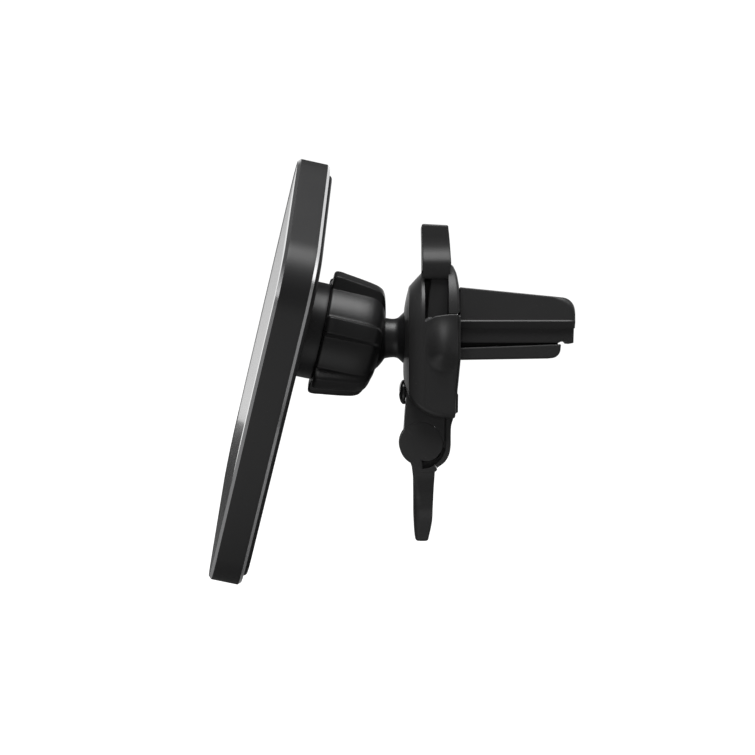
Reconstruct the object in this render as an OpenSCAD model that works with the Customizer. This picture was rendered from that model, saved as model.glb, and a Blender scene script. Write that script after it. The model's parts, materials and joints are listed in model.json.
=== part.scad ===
// Car phone mount: a magnetic pad on a ball joint, held by a spring clip for an air vent.
// Millimetres, +Z up. The phone side faces -Y, the vent is at +Y, and the origin is at the
// mouth of the jaws, on the rear face of the clip. The pad is built around the ball's centre
// in its own frame (front at -Y, long side along Z) and then turned into the rest pose.

/* [Rest pose of the ball joint] */
// Swivel of the pad about the vertical, degrees
swivel = 4.73; // [-10:0.01:10]
// Tilt of the pad's top towards the vent, degrees
tilt = 12; // [0:0.1:13]
// Turn of the pad about its own normal, degrees
roll = 32; // [-180:1:180]

/* [Phone pad] */
// Short side of the pad
pad_w = 65; // [62:0.5:70]
// Long side of the pad
pad_l = 98.7; // [96:0.1:106]
// Corner radius of the pad's outline
pad_r = 13; // [9:0.5:15]
// Depth of the aluminium frame over both chamfers
frame_t = 8.3; // [8:0.1:9]
// Height and width of the bright chamfers
chamfer = 0.75; // [0.4:0.05:1]
// Wall of the aluminium frame
frame_wall = 1.7; // [1.2:0.1:2.5]
// Distance from the ball's centre forward to the frame's rear edge
frame_back = 13.52; // [13.5:0.01:14]
// Distance of the boss above the pad's centre
boss_offset = 14.8; // [10:0.1:16]
// How far the back plate stands proud of the frame
back_proud = 1; // [0.6:0.1:1.2]
// Thickness of the front panel
panel_t = 1.1; // [0.8:0.1:1.4]
// Number of arc magnets in the ring
magnets_n = 18; // [8:1:24]
// Mean radius of the magnet ring
magnet_ring_r = 25; // [22:0.5:25]
// Radial width of the magnets
magnet_w = 5; // [3:0.5:5.5]

/* [Ball joint and knob] */
// Ball diameter
ball_d = 20; // [19.8:0.1:20]
// Neck diameter of the ball stud
neck_d = 10; // [8:0.5:10]
// Outer diameter of the round boss behind the pad
boss_d = 24.3; // [24:0.1:24.6]
// Outside diameter of the knob over its ribs
knob_d = 32.5; // [31:0.5:34]
// Diameter between the ribs
knob_valley_d = 26.4; // [26.2:0.1:27]
// Number of grip ribs
knob_ribs = 6; // [5:1:9]
// Width of one rib as an angle, degrees
rib_angle = 13; // [8:1:20]
// Diameter of the knob's thread
thread_d = 23.5; // [23.4:0.1:23.7]
// Radial running clearance of the thread
thread_gap = 0.07; // [0.03:0.01:0.1]

/* [Vent clip] */
// Height of the ball's centre above the jaw mouth
ball_z = 1.75; // [1.5:0.05:2]
// Distance of the ball's centre in front of the jaw mouth
ball_y = 27.25; // [27:0.05:28]
// Width of the clip's body
clip_w = 27; // [26:0.5:28]
// Width of the lower plate and of the leg's hub
plate_w = 19.2; // [19:0.1:20]
// Pivot pin diameter
pin_d = 2; // [1.6:0.1:2]
// Radial clearance of parts that turn on a pin
pin_gap = 0.04; // [0.02:0.01:0.08]

/* [Jaws and leg] */
// Length of the upper jaw behind the clip
upper_jaw_len = 28.6; // [27:0.1:30]
// Width of the upper jaw
upper_jaw_w = 20; // [18:0.5:20]
// Length of the lower jaw
lower_jaw_len = 24.9; // [22:0.1:25]
// Width of the lower jaw and of the upper jaw's core
core_w = 17; // [15:0.5:17]
// Radius of the leg's hub
hub_r = 5.35; // [5.2:0.05:5.4]
// Height of the leg's hub below the jaw mouth
hub_drop = 24.5; // [24.4:0.1:24.6]
// Distance of the leg's hub in front of the clip's rear face
hub_fwd = 9.65; // [9.6:0.05:9.7]

/* [Hidden] */
$fn = 96;
fine = 0.01;

// Depths in the pad's frame, as Y from the ball's centre
y_back = -frame_back;
y_front = y_back - frame_t;
y_rear = y_back + back_proud;
y_panel = y_front + 0.15;
y_film = y_panel + panel_t;
y_carrier = y_film + 0.3;
y_plate = y_back - 1.6;
y_flange = y_plate - 1.5;
magnet_t = 2.5;
steel_t = 0.7;

// Spherical parts of the ball joint, from the ball outwards
ball_r = ball_d / 2;
seat_in = ball_r + 0.05;
seat_out = ball_r + 0.65;
cup_r = ball_r + 0.72;
washer_in = ball_r + 0.72;
washer_out = ball_r + 1.12;
knob_seat_r = ball_r + 1.18;
lip_r = ball_r + 0.15;

// Knob stations along its axis
knob_front = -7.45;
knob_rear = 7.35;
bore_rear = 2.2;
lip_start = 5.95;

// Clip stations
cover_rear = -8.75;
pivot_y = -7.4;
pivot_z = 4.8;
pin_r = pin_d / 2;
hub_y = -hub_fwd;
hub_z = -hub_drop;
half_plate = plate_w / 2;
lug_half = 5.3;

// ---------- helpers ----------

// Points of an arc about [cx, cy] from angle a0 to a1
function arc(cx, cy, r, a0, a1, n = 12) =
    [for (i = [0:n]) [cx + r * cos(a0 + (a1 - a0) * i / n), cy + r * sin(a0 + (a1 - a0) * i / n)]];

// Outline of a rounded rectangle, centred
function rounded(w, h, r, n = 12) = concat(
    arc(w / 2 - r, h / 2 - r, r, 0, 90, n), arc(r - w / 2, h / 2 - r, r, 90, 180, n),
    arc(r - w / 2, r - h / 2, r, 180, 270, n), arc(w / 2 - r, r - h / 2, r, 270, 360, n));

// Turns the pad's own frame into its place in the clip's frame
module at_ball() {
    translate([0, -ball_y, ball_z]) children();
}
module with_swivel() {
    at_ball() rotate([0, 0, swivel]) children();
}
module with_tilt() {
    with_swivel() rotate([-tilt, 0, 0]) children();
}
module with_roll() {
    with_tilt() rotate([0, roll, 0]) children();
}

// A plate in the pad's frame, its outline drawn as X across and Z up, between two depths
module pad_slab(y0, y1) {
    translate([0, y1, -boss_offset]) rotate([90, 0, 0]) linear_extrude(y1 - y0) children();
}
// A cylinder along Y from y0 to y1
module y_rod(r, y0, y1, r2 = -1) {
    translate([0, y0, 0]) rotate([-90, 0, 0]) cylinder(h = y1 - y0, r1 = r, r2 = r2 < 0 ? r : r2);
}
// A cylinder along X, centred
module x_rod(r, half) {
    rotate([0, 90, 0]) cylinder(h = 2 * half, r = r, center = true);
}
// A side outline, Y across and Z up, carried along X to both sides
module side(half, pts) {
    translate([-half, 0, 0]) rotate([90, 0, 90]) linear_extrude(2 * half) polygon(pts);
}
// A front outline, X across and Z up, carried along Y
module front(y0, y1, pts) {
    translate([0, y1, 0]) rotate([90, 0, 0]) linear_extrude(y1 - y0) polygon(pts);
}
// A plan outline, X across and Y up the page, carried along Z
module plan(z0, z1, pts) {
    translate([0, 0, z0]) linear_extrude(z1 - z0) polygon(pts);
}
// A countersunk screw along +Y, head at y0
module flat_screw(y0, len, r = 1, head_r = 2) {
    y_rod(head_r, y0, y0 + head_r - r, r);
    y_rod(r, y0 + head_r - r - fine, y0 + len);
}
// The places of the four screws that hold the carrier to the back plate
module carrier_places() {
    for (x = [-24.5, 24.5], z = [-41, 41]) translate([x, 0, z - boss_offset]) children();
}
module socket_places() {
    for (a = [45:90:315]) rotate([0, a, 0]) translate([14.4, 0, 0]) children();
}

// ---------- the pad ----------

module front_panel() {
    color("#08080a") with_roll() pad_slab(y_panel, y_film)
        polygon(rounded(pad_w - 2 * frame_wall - 0.2, pad_l - 2 * frame_wall - 0.2,
            pad_r - frame_wall - 0.1));
}
module panel_adhesive() {
    color("#d8d8cf") with_roll() pad_slab(y_film, y_carrier)
        polygon(rounded(pad_w - 6, pad_l - 6, pad_r - 3));
}
// Band of the frame with a bright chamfer along the front and the rear edge
module frame_outside() {
    n = 16;
    for (end = [[y_front, 1], [y_back, -1]])
        for (step = [0:2]) {
            inset = chamfer * (3 - step) / 4;
            depth = chamfer * (step + 1) / 4;
            y_a = end[0] + end[1] * (depth - chamfer / 4);
            y_b = end[0] + end[1] * (depth + fine);
            pad_slab(min(y_a, y_b), max(y_a, y_b))
                polygon(rounded(pad_w - 2 * inset, pad_l - 2 * inset, pad_r - inset, n));
        }
    pad_slab(y_front + chamfer * 0.75, y_back - chamfer * 0.75)
        polygon(rounded(pad_w, pad_l, pad_r, n));
}
module pad_frame() {
    color("#1c1c1e") with_roll() difference() {
        frame_outside();
        pad_slab(y_front - 1, y_back + 1)
            polygon(rounded(pad_w - 2 * frame_wall, pad_l - 2 * frame_wall, pad_r - frame_wall, 16));
    }
}
module magnet_carrier() {
    color("#3a3a3c") with_roll() difference() {
        pad_slab(y_carrier, y_plate)
            polygon(rounded(pad_w - 2 * frame_wall - 0.3, pad_l - 2 * frame_wall - 0.3,
                pad_r - frame_wall - 0.1));
        // ring groove for the magnets and their steel ring
        translate([0, 0, -boss_offset]) difference() {
            y_rod(magnet_ring_r + magnet_w / 2 + 0.15, y_carrier - 1, y_carrier + magnet_t + steel_t + 0.1);
            y_rod(magnet_ring_r - magnet_w / 2 - 0.15, y_carrier - 2, y_carrier + magnet_t + steel_t + 1);
        }
        // pocket of the alignment magnet
        translate([0, 0, -boss_offset - 36.5])
            translate([-10.15, y_carrier - 1, -2.65]) cube([20.3, magnet_t + 1.1, 5.3]);
        // recess for the socket's flange
        y_rod(17.2, y_flange - 0.05, y_plate + 1);
        carrier_places() {
            y_rod(2.1, y_carrier - 1, y_carrier + 1.1);
            y_rod(1.05, y_carrier, y_plate + 1);
        }
        // two long lightening windows beside the ring
        for (z = [29, -46]) translate([0, 0, z - boss_offset])
            translate([-17, y_carrier - 1, -3.5]) cube([34, 3.5, 7]);
    }
}
module arc_magnets() {
    pitch = 360 / magnets_n;
    color("#b9bcc2") with_roll() translate([0, 0, -boss_offset])
        for (i = [0:magnets_n - 1]) rotate([0, i * pitch, 0])
            translate([0, y_carrier + 0.05 + magnet_t, 0]) rotate([90, 0, 0]) linear_extrude(magnet_t)
                polygon(concat(arc(0, 0, magnet_ring_r + magnet_w / 2, -pitch / 2 + 0.5, pitch / 2 - 0.5, 4),
                    arc(0, 0, magnet_ring_r - magnet_w / 2, pitch / 2 - 0.5, -pitch / 2 + 0.5, 4)));
}
module alignment_magnet() {
    color("#b9bcc2") with_roll() translate([-10, y_carrier + 0.05, -boss_offset - 36.5 - 2.5])
        cube([20, magnet_t, 5]);
}
module steel_ring() {
    color("#8d9096") with_roll() translate([0, 0, -boss_offset]) difference() {
        y_rod(magnet_ring_r + magnet_w / 2, y_carrier + 0.05 + magnet_t, y_carrier + magnet_t + steel_t);
        y_rod(magnet_ring_r - magnet_w / 2, y_carrier, y_carrier + magnet_t + steel_t + 1);
    }
}
module back_plate() {
    color("#161618") with_roll() difference() {
        union() {
            pad_slab(y_plate, y_back - 0.1)
                polygon(rounded(pad_w - 2 * frame_wall - 0.2, pad_l - 2 * frame_wall - 0.2,
                    pad_r - frame_wall - 0.1));
            for (step = [0:3])
                pad_slab(y_back - 0.2, y_back + back_proud * (1 - 0.15 * step))
                    polygon(rounded(pad_w - 5.2 + 0.35 * step, pad_l - 5.2 + 0.35 * step,
                        pad_r - 2.6 + 0.17 * step));
        }
        y_rod(boss_d / 2 + 0.08, y_plate - 1, y_rear + 1);
        socket_places() y_rod(1, y_plate - 1, y_plate + 2.05);
        carrier_places() y_rod(1, y_plate - 1, y_plate + 2.05);
    }
}
module carrier_screws() {
    color("#55575c") with_roll() carrier_places() {
        y_rod(1.9, y_carrier + 0.1, y_carrier + 1.1);
        y_rod(0.98, y_carrier + 1, y_plate + 1.9);
    }
}

// ---------- ball joint ----------

module socket() {
    color("#161618") with_roll() difference() {
        union() {
            y_rod(17, y_flange, y_plate);
            y_rod(boss_d / 2, y_plate - fine, knob_front - 0.15);
            y_rod(thread_d / 2, knob_front - 0.2, -1);
        }
        sphere(cup_r);
        socket_places() flat_screw(y_flange - fine, 4, 1.05, 2.05);
    }
}
module socket_screws() {
    color("#55575c") with_roll() socket_places() flat_screw(y_flange, 3.4);
}
// A shell of the ball joint between two planes across its axis
module shell_zone(r_in, r_out, y0, y1) {
    intersection() {
        difference() {
            sphere(r_out);
            sphere(r_in);
        }
        y_rod(r_out + 1, y0, y1);
    }
}
module ball_seat() {
    color("#c9c9c4") with_swivel() rotate([-tilt, 0, 0]) shell_zone(seat_in, seat_out, -ball_r - 1, -7.9);
}
module ball_ring() {
    color("#c9c9c4") with_tilt() shell_zone(seat_in, seat_out, -2.4, 5.7);
}
module thrust_washer() {
    color("#e8e6df") with_roll() shell_zone(washer_in, washer_out, 2.6, 5.75);
}
// Outside of the knob over its ribs, as radius and axial station
function knob_outline() = [[0, knob_front], [knob_d / 2 - 0.75, knob_front],
    [knob_d / 2 - 0.2, knob_front + 0.35], [knob_d / 2, knob_front + 0.95], [15.55, -1], [14.95, 2.7],
    [14.5, 4.4], [13.8, 5.4], [12.8, 6.1], [10.4, 6.8], [7.9, knob_rear], [0, knob_rear]];
module knob_rib(i) {
    a = rib_angle / 2;
    foot = a + 5;
    r_foot = knob_valley_d / 2 - 0.3;
    rotate([0, i * 360 / knob_ribs, 0]) translate([0, knob_rear, 0]) rotate([90, 0, 0])
        linear_extrude(knob_rear - knob_front)
            polygon([[0, 0], [r_foot * cos(foot), -r_foot * sin(foot)], [knob_d * cos(a), -knob_d * sin(a)],
                [knob_d * cos(a), knob_d * sin(a)], [r_foot * cos(foot), r_foot * sin(foot)]]);
}
module knob() {
    color("#18181a") with_tilt() rotate([0, -6, 0]) difference() {
        intersection() {
            rotate([-90, 0, 0]) rotate_extrude() polygon(knob_outline());
            union() {
                y_rod(knob_valley_d / 2, knob_front, knob_rear);
                for (i = [0:knob_ribs - 1]) knob_rib(i);
            }
        }
        y_rod(thread_d / 2 + thread_gap, knob_front - 1, bore_rear);
        intersection() {
            sphere(knob_seat_r);
            y_rod(knob_seat_r + 1, bore_rear - 0.1, lip_start);
        }
        sphere(lip_r);
        y_rod(7.4, 0, knob_rear + 1);
        y_rod(7.2, 6.3, knob_rear + 0.01, 8.2);
    }
}
module ball_stud() {
    color("#1e1e20") translate([0, 0, ball_z]) difference() {
        union() {
            translate([0, -ball_y, 0]) sphere(ball_r);
            y_rod(neck_d / 2, -ball_y, -12);
            y_rod(neck_d / 2, -15.1, -12.9, 7.2);
            y_rod(7.2, -12.91, -11.8);
            intersection() {
                y_rod(8.6, -11.9, -10.5);
                translate([-7.6, -12, -9]) cube([15.2, 2, 18]);
            }
        }
        // moulding core from behind
        y_rod(2.2, -20, -10);
    }
}

// ---------- clip ----------

// Front outline of the clip: nearly round at the top, squarer at the bottom
function clip_front(w, z0, z1, r_top, r_low) = concat(
    arc(w / 2 - r_top, z1 - r_top, r_top, 0, 90, 16), arc(r_top - w / 2, z1 - r_top, r_top, 90, 180, 16),
    arc(r_low - w / 2, z0 + r_low, r_low, 180, 270, 8), arc(w / 2 - r_low, z0 + r_low, r_low, 270, 360, 8));
// Plan outline: rounded towards the front, with a slight crown in the middle
function clip_plan(inset) = concat(
    arc(clip_w / 2 - 3.6 - inset, -9.2 + inset / 3, 3.6, 0, -85, 8),
    [[5, -13.75 + inset], [0, -14 + inset], [-5, -13.75 + inset]],
    arc(-clip_w / 2 + 3.6 + inset, -9.2 + inset / 3, 3.6, -95, -180, 8),
    [[-clip_w / 2 + inset, 5], [clip_w / 2 - inset, 5]]);
// Lower edge of the clip's upper part, seen from the side
function ridge() = [[-13.05, -11.4], [-12.3, -12.9], [-11.3, -14.1], [-10.2, -15.05], [-8.75, -16.1]];
function cover_side() = concat([[cover_rear, 17.9], [-9.5, 17.9], [-12.9, 15.05], [-14.2, 12], [-14.2, -9.5]],
    ridge());
module clip_cover() {
    color("#141416") difference() {
        intersection() {
            side(clip_w, cover_side());
            front(-15, -8, clip_front(clip_w, -17, 17.9, 12.6, 5));
            plan(-20, 20, clip_plan(0));
        }
        // hollow behind the front wall
        intersection() {
            front(-12, -8, clip_front(clip_w - 3.4, -14, 16.3, 11, 4));
            plan(-20, 20, clip_plan(1.7));
            side(clip_w, [[-8, 16.3], [-9.6, 16.3], [-12, 14], [-12, -11.2], [-10.9, -12.6], [-8, -14.2]]);
        }
        translate([0, 0, ball_z]) y_rod(7.3, -15, -11);
        retainer_places() y_rod(0.8, -12.6, -10);
        translate([0, 0, cover_screw_z]) {
            y_rod(1.55, -15, -8);
            y_rod(3.5, -15.2, -13.79);
        }
    }
    // posts that carry the stud's retainer
    color("#141416") retainer_places() difference() {
        y_rod(1.7, -12.3, -10.5);
        y_rod(0.8, -13, -10);
    }
}
cover_screw_z = -11.75;
module retainer_places() {
    for (x = [-9.6, 9.6], z = [-5, 5]) translate([x, 0, ball_z + z]) children();
}
module stud_retainer() {
    color("#9a9ca0") difference() {
        front(-10.45, -9.85, [for (p = rounded(22, 14, 3, 4)) [p[0], p[1] + ball_z]]);
        translate([0, 0, ball_z]) y_rod(2.4, -11, -9);
        retainer_places() y_rod(0.85, -11, -9);
    }
}
module retainer_screws() {
    color("#55575c") retainer_places() {
        y_rod(0.78, -12.5, -9.8);
        y_rod(1.5, -9.82, -9.1);
    }
}
// Pan-head screw under the ball that ties the cover to the body
module cover_screw() {
    color("#101012") translate([0, 0, cover_screw_z]) difference() {
        union() {
            intersection() {
                translate([0, -8.5, 0]) sphere(6.55);
                y_rod(3.45, -15.05, -13.9);
            }
            y_rod(3.45, -13.95, -13.8);
            y_rod(1.5, -13.9, -7.2);
        }
        for (a = [0, 90]) rotate([0, a, 0]) translate([-1.7, -15.5, -0.35]) cube([3.4, 1, 0.7]);
    }
}
// Side outline of the body: pod, lower plate and the rim round the leg's hub
function body_side() = concat(
    [[cover_rear, 5.6], [-6.2, 6.9], [-2.85, 7.35], [-0.35, 7.35], [-0.35, -3.9], [-1.1, -11.4],
        [-1.25, -17.3], [-1.75, -18.4], [-2.15, -19.8]],
    arc(hub_y, hub_z, 7.3, -4, -56, 10),
    arc(hub_y, hub_z, 6.2, -56, -4, 10),
    [[-4, -21], [-9.65, -21], [-13.85, -21.4], [-13.5, -16.2], [-13.05, -11.5]],
    [for (i = [1:4]) ridge()[i]]);
module body_shell() {
    intersection() {
        side(clip_w, body_side());
        union() {
            front(-8.75, 0, clip_front(clip_w, -18.1, 18, 12.6, 6));
            front(-15, 0, clip_front(plate_w, -35, 0, 2, 0.5));
        }
        union() {
            plan(-40, 20, clip_plan(0));
            plan(-40, -11, [[-14, -16], [14, -16], [14, 1], [-14, 1]]);
        }
    }
}
module clip_body() {
    color("#141416") difference() {
        union() {
            difference() {
                body_shell();
                // hollow for the lever, its spring and the screws
                intersection() {
                    front(-8.76, 1, clip_front(clip_w - 3.4, -13.5, 18, 11, 4));
                    translate([-13, -8.77, -13.5]) cube([26, 6.15, 30]);
                }
                // bed of the lower jaw's plate in the rear face
                intersection() {
                    front(-1.55, 1, clip_front(clip_w - 3.7, -13.45, 18, 10.85, 4));
                    translate([-13, -2, -14]) cube([26, 3, 16.35]);
                }
                // round the leg's hub discs
                for (s = [-1, 1]) translate([s * 10.05, hub_y, hub_z]) x_rod(hub_r + 0.15, 4.6);
            }
            // lug between the hub discs
            intersection() {
                union() {
                    translate([0, hub_y, hub_z]) x_rod(3.9, lug_half);
                    translate([-lug_half, hub_y - 3.4, hub_z]) cube([2 * lug_half, 6.8, 4.5]);
                }
                translate([-lug_half, -13.7, -29]) cube([2 * lug_half, 13, 12]);
            }
            // screw posts for the cover and the lower jaw
            translate([0, 0, cover_screw_z]) y_rod(3.2, -8.7, -2.5);
            jaw_screw_places() y_rod(2.4, -8, -2.5);
        }
        translate([0, 0, cover_screw_z]) y_rod(1.5, -15, -7);
        jaw_screw_places() y_rod(1, -7.5, 1);
        translate([0, pivot_y, pivot_z]) x_rod(pin_r, 12.6);
        translate([0, hub_y, hub_z]) x_rod(pin_r, 9);
        // pocket of the leg's spring plunger in the lug's top
        translate([0, hub_y, hub_z + 3]) cylinder(h = 5.2, r = 1.3);
        // pocket behind the lower plate
        translate([-7.8, -7.6, -20.2]) cube([15.6, 3.9, 6]);
    }
}
module jaw_screw_places() {
    for (x = [-9, 9]) translate([x, 0, -8.6]) children();
}
module jaw_screws() {
    color("#55575c") jaw_screw_places() {
        y_rod(1.9, -1, -0.6);
        y_rod(0.98, -7.4, -0.9);
    }
}
// Lower jaw with the thin rear plate of the clip
function lower_jaw_side() = concat([[-0.3, -0.95], [0, -0.95], [22.5, -0.2]],
    arc(lower_jaw_len - 2.6, -2.55, 2.6, 80, -50, 8), [[21.4, -3.35], [0, -3.75], [-0.3, -3.75]]);
module lower_jaw() {
    color("#18181a") difference() {
        union() {
            intersection() {
                side(clip_w, [[-1.5, 7.1], [0, 7.1], [0, -3.75], [-0.75, -11.4], [-0.9, -17.1], [-1.5, -17.1]]);
                union() {
                    front(-0.3, 0, clip_front(clip_w - 0.8, -17.1, 18, 12, 5.6));
                    intersection() {
                        front(-1.5, 0, clip_front(clip_w - 3.8, -13.2, 18, 10.8, 4));
                        side(clip_w, [[-1.5, 2.3], [0, 2.3], [0, -13.4], [-1.5, -13.4]]);
                    }
                    intersection() {
                        front(-1.3, 0, clip_front(clip_w - 0.8, -17.1, 18, 12, 5.6));
                        side(clip_w, [[-0.33, -3.9], [0, -3.7], [0, -18], [-1.2, -18], [-1.22, -17], [-1.07, -11.4]]);
                    }
                }
                front(-2, 1, [[-20, 2.3], [-20, -20], [20, -20], [20, 2.3]]);
            }
            side(core_w / 2, lower_jaw_side());
            translate([-3, -0.3, -9]) cube([6, 0.4, 5.6]);
        }
        // bed of the rubber pad
        translate([-core_w / 2 + 1.4, 1.5, -1.9]) cube([core_w - 2.8, lower_jaw_len - 4, 3]);
        jaw_screw_places() {
            y_rod(1.05, -2, 1);
            y_rod(2, -1.02, 1);
        }
        // moulding recess underneath
        translate([-core_w / 2 + 2, 2, -5]) cube([core_w - 4, lower_jaw_len - 7, 1.9]);
    }
}
module lower_jaw_pad() {
    l = lower_jaw_len - 4.2;
    color("#232325") difference() {
        side(core_w / 2 - 1.5, [[1.6, -1.9], [1.6, -0.75], [2, -0.55], [l + 1.2, 0.05], [l + 1.6, -0.2],
            [l + 1.6, -1.9]]);
        for (i = [0:6]) translate([-core_w, 3 + i * 2.8, -1.05]) cube([2 * core_w, 0.9, 2]);
    }
}
module rear_bumper() {
    color("#232325") side(6.5, [[-0.75, -11.9], [-0.38, -12.3], [-0.45, -16.7], [-0.88, -17]]);
}
module lever_pin() {
    color("#a4a6aa") translate([0, pivot_y, pivot_z]) x_rod(pin_r - 0.005, 12.4);
}
// Coil round the pin with one leg against the body and one under the lever's web
spring_r = 1.65;
wire_r = 0.3;
module torsion_spring() {
    turns = 2.5;
    steps = 14;
    sides = 6;
    n = floor(turns * steps);
    ring = [for (i = [0:n], k = [0:sides - 1]) let (a = -90 - 360 * i / steps, b = 360 * k / sides,
        r = spring_r + wire_r * cos(b)) [7 + 0.62 * i / steps + wire_r * sin(b), r * sin(a), r * cos(a)]];
    faces = concat([for (i = [0:n - 1], k = [0:sides - 1]) let (q = (k + 1) % sides)
        [i * sides + k, i * sides + q, (i + 1) * sides + q, (i + 1) * sides + k]],
        [[for (k = [0:sides - 1]) sides - 1 - k]], [[for (k = [0:sides - 1]) n * sides + k]]);
    color("#c2c4c8") translate([0, pivot_y, pivot_z]) polyhedron(ring, faces);
}

// ---------- lever with the upper jaw ----------

function lever_core() = [[-8.35, 6.1], [-7.2, 16.4], [-7.2, 18.4], [-9.3, 18.6], [-9.35, 24],
    [-9.45, 29.4], [-9.2, 29.9], [-3.4, 29.55], [-2.9, 29.1], [-2.45, 25], [-2.2, 20.3], [-1.5, 19.6],
    [-0.75, 17.4], [-0.3, 14.3], [-0.05, 7.7], [-2.85, 7.7], [-6.2, 7.25]];
function paddle_front() = concat([[6.4, 5], [6.4, 16.9], [7.6, 16.6], [8.9, 16.2]],
    [[9.45, 17.4], [9.5, 19.6], [9, 21.6], [8.3, 23.6], [8, 25.4]], arc(5, 26.9, 3, 0, 90, 6),
    arc(-5, 26.9, 3, 90, 180, 6), [[-8, 25.4], [-8.3, 23.6], [-9, 21.6], [-9.5, 19.6], [-9.45, 17.4]],
    [[-8.9, 16.2], [-7.6, 16.6], [-6.4, 16.9], [-6.4, 5]]);
function upper_jaw_side() = concat([[-0.2, 14.15], [25, 11.65]], arc(25.2, 8.2, 3.4, 84, 0, 6),
    [[upper_jaw_len - 0.3, 4.7], [upper_jaw_len - 0.4, 4.1], [0.3, 4.1], [0.3, 7.7], [-0.2, 7.7]]);
module jaw_lever() {
    color("#18181a") difference() {
        union() {
            intersection() {
                side(10, lever_core());
                front(-10, 0, paddle_front());
            }
            // rear wall of the pod
            intersection() {
                side(13, [[-2.85, 7.7], [-0.05, 7.7], [-0.3, 14.3], [-0.75, 17.4], [-1.5, 19.6],
                    [-2.2, 20.4], [-2.85, 20.4]]);
                front(-4, 1, clip_front(clip_w - 1, 7.7, 20.4, 12.2, 0.2));
            }
            // shell of the jaw, wider than its core and chamfered below
            difference() {
                side(upper_jaw_w / 2, upper_jaw_side());
                for (s = [-1, 1]) translate([s * upper_jaw_w / 2, 14, 4.1]) rotate([0, s * 38, 0])
                    translate([-2, -20, -2.4]) cube([4, 40, 2.4]);
            }
            side(core_w / 2, [[0.3, 4.2], [upper_jaw_len - 0.5, 4.2], [upper_jaw_len - 0.55, 0.4],
                [27, 0.4], [26.6, 0.8], [25.4, 0.9], [24.6, 0.45], [0.3, 0.4]]);
            // lugs that turn on the pin
            for (s = [-1, 1]) translate([s * 5.4, 0, 0]) {
                translate([0, pivot_y, pivot_z]) x_rod(2.1, 1);
                side(1, [[-8.35, 6.2], [-9, 4.8], [-5.8, 4.2], [-5.4, 7.3]]);
            }
        }
        translate([0, pivot_y, pivot_z]) x_rod(pin_r + pin_gap, 8);
        // bed of the rubber pad
        translate([-core_w / 2 + 1.4, 1.5, -1]) cube([core_w - 2.8, upper_jaw_len - 6.5, 3]);
        // moulding core inside the jaw, open to the clip's hollow
        translate([-6.5, -4, 8.9]) cube([13, 24, 2]);
    }
}
module upper_jaw_pad() {
    l = upper_jaw_len - 6.7;
    color("#232325") difference() {
        side(core_w / 2 - 1.5, [[1.6, 2], [1.6, 0.5], [2, 0.2], [l + 1.2, 0.22], [l + 1.6, 0.5], [l + 1.6, 2]]);
        for (i = [0:6]) translate([-core_w, 3 + i * 2.8, -1.3]) cube([2 * core_w, 0.9, 2]);
    }
}

// ---------- support leg ----------

function leg_side() = concat([[-12.2, -29.2], [-11.65, -31], [-11.4, -33.4], [-11.45, -36.2], [-11.45, -41.7],
        [-11.2, -45.9], [-11, -48.2], [-10.25, -48.9], [-8.45, -48.9], [-7.7, -48.2], [-6.85, -44.5],
        [-6.75, -41.7], [-6.5, -36.2], [-6.25, -32]],
    [[hub_y + 7.3 * cos(57.5), hub_z - 7.3 * sin(57.5)]],
    arc(hub_y, hub_z, 6.2, -57.5, -85, 4), [[hub_y + 0.2, hub_z - 4.6], [hub_y - 2.2, hub_z - 4.4]]);
function leg_front() = [[half_plate, -19], [half_plate, -32.6], [8.6, -34.4], [7.3, -37], [6.7, -39.6],
    [6.9, -41.3], [7.9, -42.2], [8.2, -43], [8.3, -46.5], [7.6, -48.2], [6, -49], [-6, -49], [-7.6, -48.2],
    [-8.3, -46.5], [-8.2, -43], [-7.9, -42.2], [-6.9, -41.3], [-6.7, -39.6], [-7.3, -37], [-8.6, -34.4],
    [-half_plate, -32.6], [-half_plate, -19]];
module support_leg() {
    color("#18181a") difference() {
        union() {
            for (s = [-1, 1]) translate([s * (half_plate + 5.6) / 2, hub_y, hub_z])
                x_rod(hub_r, (half_plate - 5.6) / 2);
            intersection() {
                side(half_plate, leg_side());
                front(-16, 0, leg_front());
            }
        }
        translate([0, hub_y, hub_z]) {
            x_rod(pin_r + pin_gap, 9.05);
            x_rod(4.15, 5.6);
        }
    }
}
module leg_pin() {
    color("#a4a6aa") translate([0, hub_y, hub_z]) x_rod(pin_r - 0.005, 8.9);
}
// Sprung plunger in the lug that presses on the pin and holds the leg by friction
module leg_spring_plunger() {
    color("#c2c4c8") translate([0, hub_y, hub_z]) {
        translate([0, 0, pin_r + 2.1]) cylinder(h = 1.2, r = 1.25);
        translate([0, 0, pin_r + 3.3]) cylinder(h = 3.6, r = 0.9);
    }
}

front_panel();
panel_adhesive();
pad_frame();
magnet_carrier();
arc_magnets();
alignment_magnet();
steel_ring();
back_plate();
carrier_screws();
socket();
socket_screws();
ball_seat();
ball_ring();
thrust_washer();
knob();
ball_stud();
stud_retainer();
retainer_screws();
clip_cover();
cover_screw();
clip_body();
lower_jaw();
jaw_screws();
lower_jaw_pad();
rear_bumper();
lever_pin();
torsion_spring();
jaw_lever();
upper_jaw_pad();
leg_pin();
support_leg();
leg_spring_plunger();
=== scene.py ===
"""Car phone mount: the finished surfaces and materials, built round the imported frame.

Every shape is worked out in millimetres as a grid of points, rows across and columns round, and is
turned into metres when its mesh is made. The pad, its boss and the knob are worked out in the pad's
own frame, with the ball's centre as origin, and then placed by the axes of the ball's joints.
"""

import json
import math

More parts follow.
